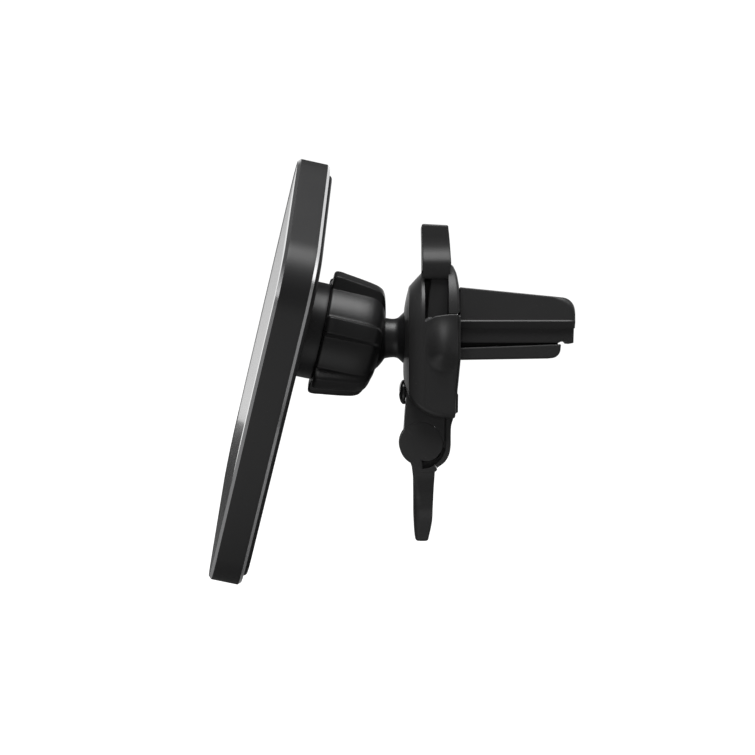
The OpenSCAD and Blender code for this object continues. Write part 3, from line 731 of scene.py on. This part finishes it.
def make_pad():
    """The band, the front panel and the back plate."""
    make_band()
    straight = (pad_length - pad_width) / 2
    spine = [[0, -straight], [0, straight]]
    panel = slab_rows(pad_outline(frame_wall + 0.08), panel_front, panel_front + 1.1, 0.3, 0.1, spine,
                      6, 5, 0.03)
    back = slab_rows(pad_outline(2.55), frame_back - 1.6, back_face, 0.2, 0.85, spine, 6, 7, 0.03)
    skin("front_gloss_panel", on_pad(panel), looks["front_gloss"], "pad", "front_panel")
    skin("pad_back_shell", on_pad(back), looks["pad_back"], "pad", "back_plate")


def make_boss():
    """The round boss with its ball cup: a profile turned about the pad's normal."""
    cup = np.linspace(math.radians(93), math.radians(178), 24)
    outside = soft_profile([(0.5, -16.6), (16.9, -16.6), (16.9, -15.2), (12.55, -15.2),
                            (12.5, back_face - 0.1), (12.35, back_face + 0.12),
                            (12.16, back_face + 0.5), (12.12, -8.2), (12.06, -7.62),
                            (11.7, -7.6), (11.7, -1.2), (11.5, -1.0), (10.8, -1.0)], 0.25)
    inside = np.stack([cup_radius * np.sin(cup), cup_radius * np.cos(cup)], 1)
    skin("ball_cup_boss", turned(np.vstack([outside, inside]), 120, in_pad), looks["boss"], "pad", "socket")


# ---------------------------------------------------------------- knob and ball

def make_knob():
    """The ribbed knob: radius = valley + (rib - valley) x share, turned about the pad's normal.

    The share is 1 on the crest of each rib, 0 in the valleys and a smooth step on the flanks. Valley
    and rib radius both follow the station along the axis, and meet at the front and the rear end.
    """
    outer = smooth_through([
        (-7.45, 12.7, 15.1), (-7.4, 12.95, 15.6), (-7.2, 13.12, 15.98), (-6.85, 13.2, 16.18),
        (-6.3, 13.2, 16.24), (-4, 13.2, 15.98), (-1, 13.18, 15.58), (1, 13.15, 15.28), (2.7, 13.05, 14.98),
        (3.8, 12.88, 14.72), (4.7, 12.55, 14.35), (5.3, 12.15, 13.95), (5.75, 11.7, 13.35),
        (6.1, 11.2, 12.65), (6.45, 10.55, 11.6), (6.8, 9.75, 10.35), (7.08, 9.0, 9.25),
        (7.26, 8.5, 8.55), (7.35, 8.15, 8.15)], 56)
    inner = np.array([(7.28, 7.88, 7.88), (7.0, 7.62, 7.62), (6.6, 7.66, 7.66), (5.9, 8.3, 8.3),
                      (5.7, 9.4, 9.4), (3.0, 10.9, 10.9), (-5, 12.0, 12.0), (-7.2, 12.05, 12.05),
                      (-7.45, 12.3, 12.3)])
    station, valley, rib = np.vstack([outer, inner]).T
    period = 2 * math.pi / knob_ribs
    flank = np.radians([-30, -24, -18, -14, -12.2, -11.6, -11, -10.4, -9.8, -9.2, -8.6, -8, -7.4, -6.9, -6.5,
                        -6.1, -5.6, -4.5, -3, -1.5])
    one_rib = np.r_[flank, 0, -flank[:0:-1]]
    angle = (np.arange(knob_ribs)[:, None] * period + one_rib).ravel() + knob_phase
    offset = np.abs(np.tile(one_rib, knob_ribs))
    share = ease((math.radians(12) - offset) / math.radians(5.6))
    crown = np.cos(offset * 2.2) * 0.12 - 0.12
    radius = valley[:, None] + (rib - valley)[:, None] * (share + crown * share)
    grid = np.stack([radius * np.cos(angle), np.broadcast_to(station[:, None], radius.shape),
                     -radius * np.sin(angle)], -1)
    skin("clamping_knob", in_tilt(grid), looks["knob"], "knob", "knob", join_rows=True)


def make_stud():
    """The ball, its neck and the flare into the cover: a profile turned about Y."""
    polar = np.linspace(math.radians(179), math.radians(31.5), 40)
    ball = np.stack([ball_radius * np.sin(polar), ball_radius * np.cos(polar)], 1)
    neck = smooth_through([(5.06, 8.75), (5.0, 9.1), (5.0, 11.75), (5.12, 12.0), (5.6, 12.55), (6.35, 13.35),
                           (7.05, 14.05), (7.15, 14.6), (7.2, 16.0)], 34)
    grid = turned(np.vstack([ball, neck]), 96, lambda points: points + ball_centre)
    skin("ball_and_neck", grid, looks["stud"], "clip", "ball_stud")


# ---------------------------------------------------------------- the clip

def underside(y):
    """Height of the clip's lower end: an arc of radius 11.4 that rises towards the front."""
    radius, middle_y, middle_z = 11.4, -3.25, -6.75
    y = np.minimum(y, middle_y)
    return middle_z - np.sqrt(radius**2 - (y - middle_y)**2)


def slant(z):
    """Station of the clip's rear face, which leans forwards below the jaws."""
    return np.interp(z, [-17.3, -11.4, -3.9], [-1.25, -1.1, -0.35])


def make_cover():
    """The front cover: arch loops that narrow over a curved front edge, then a low crown.

    Half-width = 13.3 - 3.6 (1 - cos t) at the station -9.2 - 4.3 sin t, for t up to 50 degrees. The
    top falls by 1.03 for each millimetre from the station -9.5 on. The crown's height falls with the
    square of the share of the way to the rim. A pocket in the rear face leaves room for the lever's
    rib.
    """
    pocket_floor, rear_face, crown = -10.7, -8.72, 1.22
    rows = []

    def add(y, inset, more=0.0):
        top = 17.9 - max(0.0, -9.5 - y) * 1.03 - inset * 0.15 - more
        low = underside(y) + 0.6 * more
        loop = arch(clip_half - inset - more, top, low, 12.6 - inset - 0.3 * more, 1.5)
        rows.append(at_station(loop, y))
        return loop

    pocket = arch(4.6, 16.6, 4.6, 2.0, 0.6)
    floor = arch(4.5, 15.3, 4.8, 2.0, 0.6)
    for share in (0.05, 0.4, 0.7, 1):
        rows.append(at_station(towards(floor, (0, 8), (0, 13), share), pocket_floor))
    rows.append(at_station(pocket, rear_face))
    for y, inset in ((rear_face + 0.01, 0.02), (rear_face, 0), (rear_face - 0.1, 0)):
        add(y, inset)
    for turn in np.radians(np.linspace(1, 50, 18)):
        edge = -9.2 - 4.3 * math.sin(turn)
        inset = 3.6 * (1 - math.cos(turn))
        add(edge, inset)
    for y, more in ((-0.1, 0.12), (-0.17, 0.26), (-0.21, 0.42), (-0.24, 0.6)):
        rim = add(edge + y, inset, more)
    edge = rows[-1][0, 1]
    for share in np.linspace(1, 0.02, 14)[1:]:
        rows.append(at_station(towards(rim, (0, -6), (0, 5.3), share), edge - crown * (1 - share**2)))
    skin("clip_front_cover", np.array(rows), looks["clip_gloss"], "clip", "clip_cover",
         sharp=40)


def make_rear_body():
    """The pod behind the cover: arch loops along Y, with a domed bulge over the lever's pin.

    The bulge moves points outwards by 2.4 x (1 - r^2)^2, where r is the distance from its middle in
    units of its half-sizes, 4.8 along Y, and 9.2 up and 5.2 down along Z. The body's top edge cuts it
    off.
    """
    height, middle_y, middle_z = 2.4, -4.2, -1.8
    rows = []

    def add(y, inset, share=1.0):
        top = np.interp(y, [-8.75, -6.2, -2.85, 0], [5.6, 6.9, 7.35, 7.35]) - inset
        loop = arch(clip_half - inset, top, underside(y) + inset, 0.25, 1.5, corner=8, side=60)
        if share < 1:
            loop = towards(loop, (0, -8), (0, 2), share)
        x, z = loop.T
        tall = np.where(z > middle_z, 9.2, 5.2)
        distance = np.clip(((y - middle_y) / 4.8)**2 + ((z - middle_z) / tall)**2, 0, 1)
        bulge = height * (1 - distance)**2 * ease((np.abs(x) - 10) / 2.5)
        lean = (slant(z) + 0.35) * (y + 8.7) / 8.35
        rows.append(np.c_[x + np.sign(x) * bulge, y + lean, z])

    for y, inset in ((-8.7, 0.02), (-8.69, 0), (-8.66, 0)):
        add(y, inset)
    for y in np.linspace(-8.5, -1.05, 34):
        add(y, 0)
    for inset, drop in rounded_end(0.6, 6):
        add(-0.35 - drop, inset)
    for share in (0.95, 0.8, 0.6, 0.4, 0.2, 0.03):
        add(-0.35, 0.6, share)
    skin("clip_rear_body", np.array(rows), looks["clip_gloss"], "clip", "clip_body",
         sharp=38)


def make_hub_carrier():
    """The plate below the pod, the rim round the leg's hub and the core in the groove between them."""
    hub = hub_centre
    count = 60
    inner = circle(hub, 5.38, 142, 8, count)
    outer = spread([(-13.83, -21.05), (-13.5, -16.25), (-13.02, -11.4), (-12.5, -10), (-9, -9.5), (-5, -12),
                  (-3.75, -14), (-3.75, -23.8)], count)
    plate = ruled(inner, outer, plate_half, 0.35)
    arc = circle(hub, 6.2, -4, -57, 30)
    near = np.vstack([spread([(-3.4, -12), (-3.4, -19), (-3.45, -24.7)], 20), arc])
    bend = [(-1.15, -12), (-1.3, -16), (-1.75, -18.4), (-2.15, -19.8), (-2.3, -22.5), (-2.36, -25.3),
            (-2.75, -27.2), (-3.65, -28.8), (-5.7, -30.45)]
    far = spread(smooth_through(bend, 90), len(near))
    rim = ruled(near, far, plate_half, 0.3)
    core = ruled(spread([(-4.6, -12), (-4.4, -25.4)], 8), spread([(-2.7, -12), (-2.9, -25.4)], 8), 8.8, 0.05)
    ring = ruled(circle(hub, 5.45, 2, -56, 20), circle(hub, 6.6, 2, -56, 20), 7.5, 0.05)
    skin("clip_lower_plate", [plate, rim, core, ring], looks["clip_satin"], "clip", "clip_body",
         sharp=35)


def make_rear_plate():
    """The thin plate at the back of the clip, and the lower jaw that stands out from it."""
    loops = slab_rows(Arch(13.1, 7.1, -17.1, 0.5, 5.6), -0.34, 0, 0.02, 0.12, [[0, -9], [0, 2]], 8, 4)
    x, z, y = loops[..., 0], loops[..., 1], loops[..., 2]
    plate = np.stack([x, y + np.interp(z, [-17.1, -11.4, -3.9], [-0.9, -0.75, 0]), z], -1)
    side = [(-0.3, -0.78), (0.0, -0.78), (22.6, 0.02), (24.95, 0.12), (24.6, -3.32), (0, -3.72),
            (-0.3, -3.72)]
    outline = Outline(side, [0.05, 0.05, 1.5, 0.3, 2.3, 0.05, 0.05], 10, 0.7)
    loops = slab_rows(outline, -8.5, 8.5, 0.35, 0.35, [[1.5, -2.1], [22.3, -1.6]], 5, 5)
    jaw = loops[..., [2, 0, 1]]
    skin("lower_jaw_and_plate", [plate, jaw], looks["clip_satin"], "clip", "lower_jaw")


def pad_height(y):
    """Height of the lower grip pad's face, which rises towards the tip of the jaw."""
    return np.interp(y, [0.3, 2.0, 24.7], [-0.74, -0.58, 0.06])


def make_grip_pads():
    """Two ribbed rubber pads: loops along Y, whose faces rise by 0.16 |sin(pi y / 1.3)| times 0.9."""
    stations = np.arange(0.35, 24.3, 0.1)
    ridge = 0.16 * np.abs(np.sin(stations * math.pi / 1.3))
    upper, lower = [], []
    for y, rise in zip(stations, ridge):
        face = pad_height(y)
        top = arch(7.1, 1.4, face + 0.05 + rise * 0.9, 0.1, 0.08, 4, 6)
        low = arch(7.1, face + rise * 0.9 + 0.02, -1.9, 0.08, 0.1, 4, 6)
        upper.append(at_station(top, y))
        lower.append(at_station(low, y))
    skin("upper_grip_pad", np.array(upper), looks["rubber"], "lever", "upper_jaw_pad")
    skin("lower_grip_pad", np.array(lower), looks["rubber"], "clip", "lower_jaw_pad")


def make_cover_screw():
    """A domed screw head turned about Y, whose crossed recess is pressed in where |x| or |z| is small."""
    head, seat, dome_height = 3.05, -13.9, 1.15
    slot_half, slot_reach, slot_depth = 0.4, 1.4, 0.6
    ring = np.linspace(0.06, 2.94, 26)
    dome = np.stack([ring, seat - dome_height * np.sqrt(np.maximum(1 - (ring / head)**2, 0))], 1)
    edge = [(3.02, -14.05), (head, seat), (head, -13.7), (3.0, -13.4), (1.5, -13.4), (1.5, -12.4)]
    grid = turned(np.vstack([dome, edge]), 96)
    x, z = np.abs(grid[..., 0]), np.abs(grid[..., 2])
    slot = np.maximum(ease((slot_half - x) / 0.14) * ease((slot_reach - z) / 0.18),
                      ease((slot_half - z) / 0.14) * ease((slot_reach - x) / 0.18))
    grid[..., 1] += slot_depth * slot * (grid[..., 1] < -14.3)
    grid[..., 2] -= 11.75
    skin("cover_screw_head", grid, looks["screw"], "clip", "cover_screw")


# ---------------------------------------------------------------- lever and leg

def make_lever():
    """The lever: a thumb tab on a narrower stem, an arched rear wall, and the upper jaw after them.

    The tab and its stem are loops of (x, y) carried up along Z, whose half-width and whose front and
    rear faces follow the height. A rib stands on the stem's front.
    """
    keys = np.array([  # height, front, rear, corner radius
        (4.4, -8.3, -5.6, 0.4), (6.3, -8.3, -2.9, 0.4), (16.1, -7.28, -2.6, 0.4), (16.3, -9.1, -2.5, 0.3),
        (16.6, -9.3, -2.45, 0.35), (20.0, -9.3, -2.17, 0.35), (25.0, -9.36, -2.45, 0.35),
        (29.3, -9.45, -2.83, 0.35)])
    widths = np.array([(16.2, 8.15), (16.8, 8.6), (17.6, 8.98), (18.6, 9.3), (19.5, 9.46), (20.2, 9.5),
                       (20.6, 9.42), (21.2, 9.18), (22, 8.76), (23, 8.22), (24, 7.82), (25, 7.6), (26.2, 7.5),
                       (27.5, 7.5), (30, 7.5)])
    heights = np.r_[np.linspace(4.4, 16.1, 24), 16.3, 16.45, np.linspace(16.6, 29.3, 52)]
    heights = np.insert(heights, np.searchsorted(heights, 18.5), [18.44, 18.56])
    rows = []

    def add(z, inset=0.0, drop=0.0):
        front, rear, radius = [np.interp(z, keys[:, 0], keys[:, k]) for k in (1, 2, 3)]
        half = 7.5 if z < 16.2 else hermite(z, widths)[0, 0]
        loop = arch(half - inset, rear - inset, front + inset, radius, radius, corner=6, side=24)
        x, y = loop.T.copy()
        if 16.15 < z < 18.5:
            y = np.where(np.abs(x) < 8.05, np.maximum(y, -7.25), y)
        height = z + drop - 0.35 * (y - front) / (rear - front) * ease((z - 27) / 2)
        rows.append(np.c_[x, y, np.broadcast_to(height, x.shape)])

    for z in heights:
        add(z)
    for inset, drop in rounded_end(0.45, 6):
        add(29.3, inset, 0.6 - drop)
    tab = np.array(rows)
    rib_side = Outline([(-9.3, 5.3), (-6.9, 5.1), (-6.9, 16.2), (-8.6, 16.15), (-9.3, 15.1)],
                       [0.3, 0.1, 0.1, 0.3, 0.3], 5, 0.6)
    rib = slab_rows(rib_side, -4, 4, 0.2, 0.2, [[-8, 6], [-8, 14.8]], 4, 4)[..., [2, 0, 1]]

    loops = slab_rows(Arch(13.0, 20.4, 7.52, 12.2, 0.05), -2.87, -0.05, 0.03, 0.9, [[0, 9], [0, 12]], 8, 8)
    x, z, y = loops[..., 0], loops[..., 1], loops[..., 2]
    rear = np.interp(z, [7.7, 14.3, 17.4, 19.6, 20.4], [0, -0.25, -0.7, -1.45, -2.0])
    wall = np.stack([x, y + rear * ease((y + 2.85) / 2.8), z], -1)
    skin("squeeze_lever", [tab, rib, wall], looks["clip_satin"], "lever", "jaw_lever",
         sharp=35)
    make_upper_jaw()


def make_upper_jaw():
    """The upper jaw: loops of (x, z) carried along Y, and a core below them.

    The top slopes down to the station 25 and then follows a quarter circle of radius 3.4. The sides
    draw in over the last millimetre and a half.
    """
    nose = 3.4
    rows = []
    straight = np.r_[0.02, np.linspace(0.3, 25, 30)]
    turn = np.radians(np.linspace(6, 84, 12))
    stations = np.r_[straight, 25 + nose * np.sin(turn)]
    tops = np.r_[np.interp(straight, [-0.2, 25], [14.15, 11.65]), 8.25 + nose * np.cos(turn)]
    for y, top in zip(stations, tops):
        end = max(0.0, (y - 26.9) / 1.55)
        inset = 1.1 * (1 - math.sqrt(max(0.0, 1 - min(end, 0.98)**2)))
        low = 3.85 + inset * 0.3
        points = [(-10 + inset, top), (10 - inset, top), (10 - inset, 6.0), (10.24 - inset, 5.66),
                  (8.55 - inset, low), (-8.55 + inset, low), (-10.24 + inset, 5.66), (-10 + inset, 6.0)]
        crest = float(np.interp(y, [23, 26.5], [0.3, 1.7]))
        outline = Outline(points, [crest, crest, 0.06, 0.08, 0.25, 0.25, 0.08, 0.06], 6)
        outline.edge_points[:] = [8, 12, 3, 4, 8, 4, 3, 12]
        rows.append(at_station(outline.at(0), y))
    low_side = [(0.02, 0.75), (0.35, 0.42), (24.4, 0.42), (25.15, 0.92), (26.55, 0.92), (27.0, 0.42),
                (28.0, 0.35), (28.15, 4.6), (0.02, 4.6)]
    outline = Outline(low_side, [0.1, 0.1, 0.3, 0.35, 0.3, 0.1, 0.15, 0.2, 0.1], 6, 0.7)
    core = slab_rows(outline, -8.5, 8.5, 0.3, 0.3, [[2, 2.6], [26.2, 2.6]], 5, 5)[..., [2, 0, 1]]
    skin("upper_jaw", [np.array(rows), core], looks["clip_satin"], "lever", "jaw_lever")


def make_leg():
    """The support leg: hub discs turned about X, a blade of (x, y) loops carried down along Z, and a
    heel between them. A crescent near each disc's rim is sunk by 1.6 behind the face."""
    hub = hub_centre
    discs = []
    for side in (-1, 1):
        face = np.linspace(5.28, 3.4, 20)
        profile = [(0.4, 5.7), (5.1, 5.7), (5.3, 5.8), (hub_radius, 6.0), (hub_radius, plate_half - 0.06),
                   (5.33, plate_half - 0.02), *[(radius, plate_half) for radius in (*face, 2.4, 1.4, 0.4)]]
        disc = turned([(r, side * s) for r, s in profile], 240)
        radius = np.hypot(disc[..., 0], disc[..., 2])
        angle = np.degrees(np.arctan2(disc[..., 2], disc[..., 0]))
        cut_from = np.interp(angle, [-92, -60, -25, -12], [3.9, 4.75, 5.2, 5.45])
        window = ease((angle + 94) / 1.5) * ease((-14 - angle) / 6)
        sunk = ease((radius - cut_from) / 0.2) * window * (np.abs(disc[..., 1]) > 9)
        disc[..., 1] -= side * 1.6 * sunk
        discs.append(np.stack([disc[..., 1], disc[..., 0] + hub[1], disc[..., 2] + hub[2]], -1))
    keys = np.array([  # height, front, rear, half-width, front corner radius
        (-28.0, -12.7, -9.35, 9.57, 0.3), (-29.2, -12.2, -9.3, 9.57, 0.3),
        (-30.7, -11.72, -9.2, 9.58, 0.3), (-30.9, -11.68, -6.2, 9.58, 0.3),
        (-32.6, -11.48, -6.3, 9.52, 0.5), (-33.4, -11.42, -6.35, 9.25, 0.8),
        (-35.0, -11.42, -6.45, 8.4, 1.2), (-36.6, -11.42, -6.52, 7.5, 1.5),
        (-38.2, -11.42, -6.58, 6.95, 1.7), (-39.8, -11.42, -6.65, 6.72, 1.7),
        (-40.8, -11.42, -6.7, 6.75, 1.7), (-41.8, -11.4, -6.72, 6.98, 1.6),
        (-42.8, -11.37, -6.78, 7.2, 1.5), (-43.6, -11.33, -6.85, 7.28, 1.5),
        (-44.8, -11.27, -7.05, 7.25, 1.5), (-46.0, -11.2, -7.3, 7.15, 1.4),
        (-47.9, -11.02, -7.74, 7.0, 1.2)])
    keys = keys[::-1]
    rows = []

    def add(z, front_in=0.0, rear_in=0.0, side_in=0.0, drop=0.0):
        front, rear, half, radius = [np.interp(z, keys[:, 0], keys[:, k]) for k in (1, 2, 3, 4)]
        loop = arch(half - side_in, rear - rear_in, front + front_in, 0.5, radius, corner=10, side=22)
        rows.append(np.c_[loop, np.full(len(loop), z - drop)])

    for z in np.r_[np.linspace(-28.0, -30.7, 12), -30.85, np.linspace(-31, -47.9, 72)]:
        add(z)
    for inset, drop in rounded_end(0.72, 7):
        add(-47.9, inset, inset, inset, 0.72 - drop)
    blade = np.array(rows)
    arc = circle(hub, 6.2, -57.1, -94, 24)
    reach_out = np.vstack([circle(hub, 6.1, -51, -57, 5), circle(hub, 7.38, -57.08, -96, 15)])
    backing = ruled(circle(hub, 5.2, -51, -96, 20), reach_out, 7.4, 0.05)
    heel = ruled(arc, spread([(-5.62, -30.72), (-5.98, -31.3), (-10.3, -31.6)], 24), plate_half, 0.1)
    skin("folding_support_leg", [*discs, blade, heel, backing], looks["clip_satin"], "leg",
         "support_leg", sharp=38)


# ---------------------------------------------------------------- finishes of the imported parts

def dress_packed_parts():
    """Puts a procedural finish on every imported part, also on those that a piece stands for."""
    finish = {
        "steel": ("steel_ring", "carrier_screws", "socket_screws", "stud_retainer", "retainer_screws",
                  "jaw_screws", "lever_pin", "torsion_spring", "leg_pin", "leg_spring_plunger"),
        "nickel": ("arc_magnets", "alignment_magnet"), "foam": ("panel_adhesive",),
        "tray": ("magnet_carrier", "pad_frame"), "liner": ("ball_seat", "ball_ring", "thrust_washer"),
        "rubber": ("lower_jaw_pad", "upper_jaw_pad", "rear_bumper"), "front_gloss": ("front_panel",),
        "pad_back": ("back_plate",), "boss": ("socket",), "knob": ("knob",), "stud": ("ball_stud",),
        "clip_gloss": ("clip_cover",), "screw": ("cover_screw",)}
    look_of = {node: look for look, nodes in finish.items() for node in nodes}
    for name, thing in frame["nodes"].items():
        thing.data.materials.clear()
        thing.data.materials.append(looks[look_of.get(name, "clip_satin")])


# ---------------------------------------------------------------- the floor

def make_floor():
    """A plain pale floor below the mount. To the eye it is white; as light, only a patch of it glows."""
    look = bpy.data.materials.new("pale_floor")
    look.use_nodes = True
    tree = look.node_tree
    shader = tree.nodes["Principled BSDF"]
    shader.inputs["Base Color"].default_value = (0.2, 0.2, 0.2, 1)
    shader.inputs["Roughness"].default_value = 0.9
    shader.inputs["Specular IOR Level"].default_value = 0.1
    shader.inputs["Emission Color"].default_value = (1, 1, 1, 1)
    place = tree.nodes.new("ShaderNodeTexCoord")
    reach = tree.nodes.new("ShaderNodeVectorMath")
    reach.operation = "DISTANCE"
    reach.inputs[1].default_value = glow_centre
    tree.links.new(place.outputs["Object"], reach.inputs[0])
    near = step_between(tree, reach.outputs["Value"], *glow_reach)
    patch = math_node(tree, "MULTIPLY", near, floor_glow)
    path = tree.nodes.new("ShaderNodeLightPath")
    glow = tree.nodes.new("ShaderNodeMix")
    tree.links.new(path.outputs["Is Camera Ray"], glow.inputs["Factor"])
    tree.links.new(patch, glow.inputs["A"])
    glow.inputs["B"].default_value = 1.1
    tree.links.new(glow.outputs["Result"], shader.inputs["Emission Strength"])
    mesh = bpy.data.meshes.new("floor")
    side, height = 25.0, -0.1
    mesh.from_pydata([(-side, -side, height), (side, -side, height), (side, side, height),
                      (-side, side, height)], [], [(0, 1, 2, 3)])
    mesh.materials.append(look)
    put_in_scene("floor", mesh)


make_camera()
make_world()
make_floor()
soft_light("overhead_box", (0.32, 0.0, 1.1), (0, -0.01, -0.01), 0.85, 0.7, 15.0)
make_pad()
make_boss()
make_knob()
make_stud()
make_cover()
make_rear_body()
make_hub_carrier()
make_rear_plate()
make_grip_pads()
make_cover_screw()
make_lever()
make_leg()
dress_packed_parts()
bpy.context.scene.view_settings.view_transform = "Standard"
